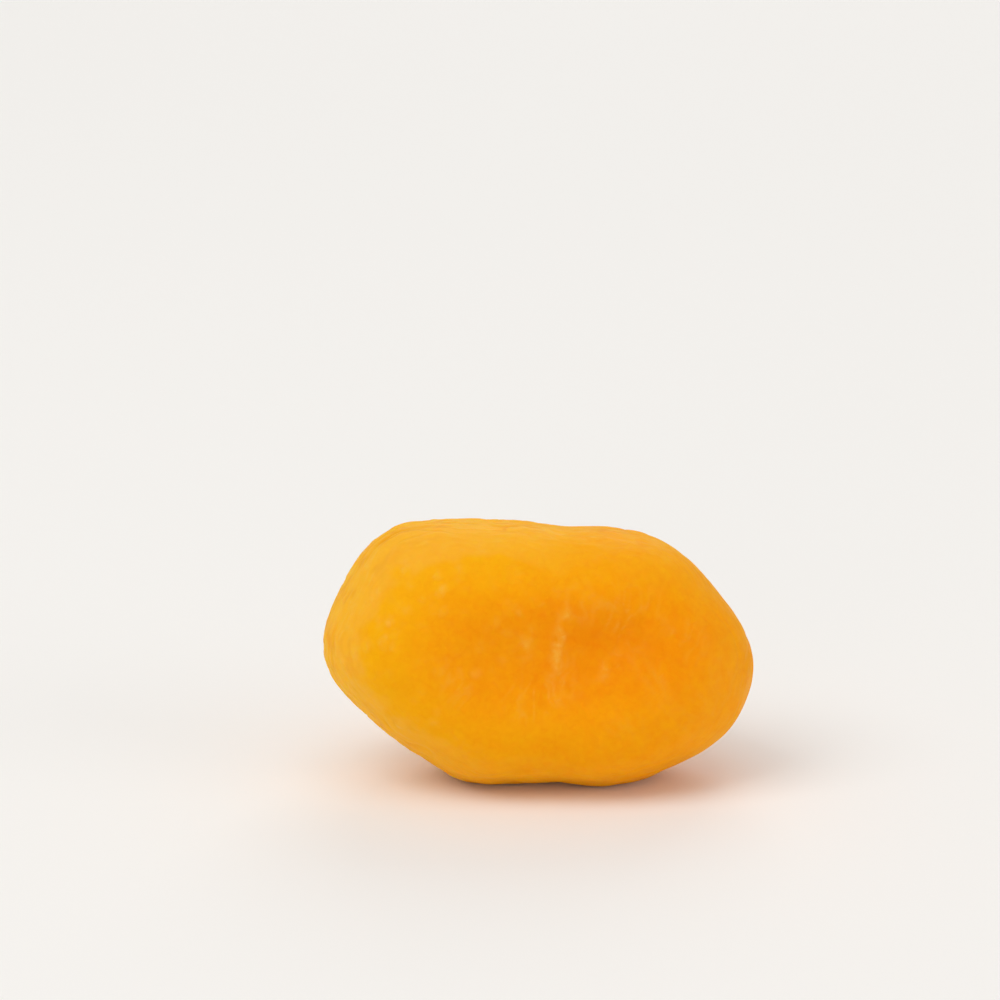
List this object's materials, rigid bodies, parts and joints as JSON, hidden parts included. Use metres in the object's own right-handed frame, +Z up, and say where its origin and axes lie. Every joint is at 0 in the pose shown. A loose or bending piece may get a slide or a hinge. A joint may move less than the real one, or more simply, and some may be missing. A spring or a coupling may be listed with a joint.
{
  "type": "dried apricot",
  "caption": "Whole pitted dried apricot: plump flattened oval with a sunken hollow in each cheek, crinkled rim, seam, closed stone slit and a small flat foot to rest on.",
  "frame": {"origin": "on the table, at the middle of the fruit's bounding box seen from above", "axes": "+X along the fruit's long axis, towards the end with the stone slit; -Y the way the front cheek faces, which leans back 16 degrees; +Z up"},
  "size_m": [0.0382, 0.0204, 0.0231],
  "materials": {
    "apricot_skin": "satin"
  },
  "bodies": {
    "root": {"dried_apricot": "apricot_skin"}
  },
  "joints": []
}
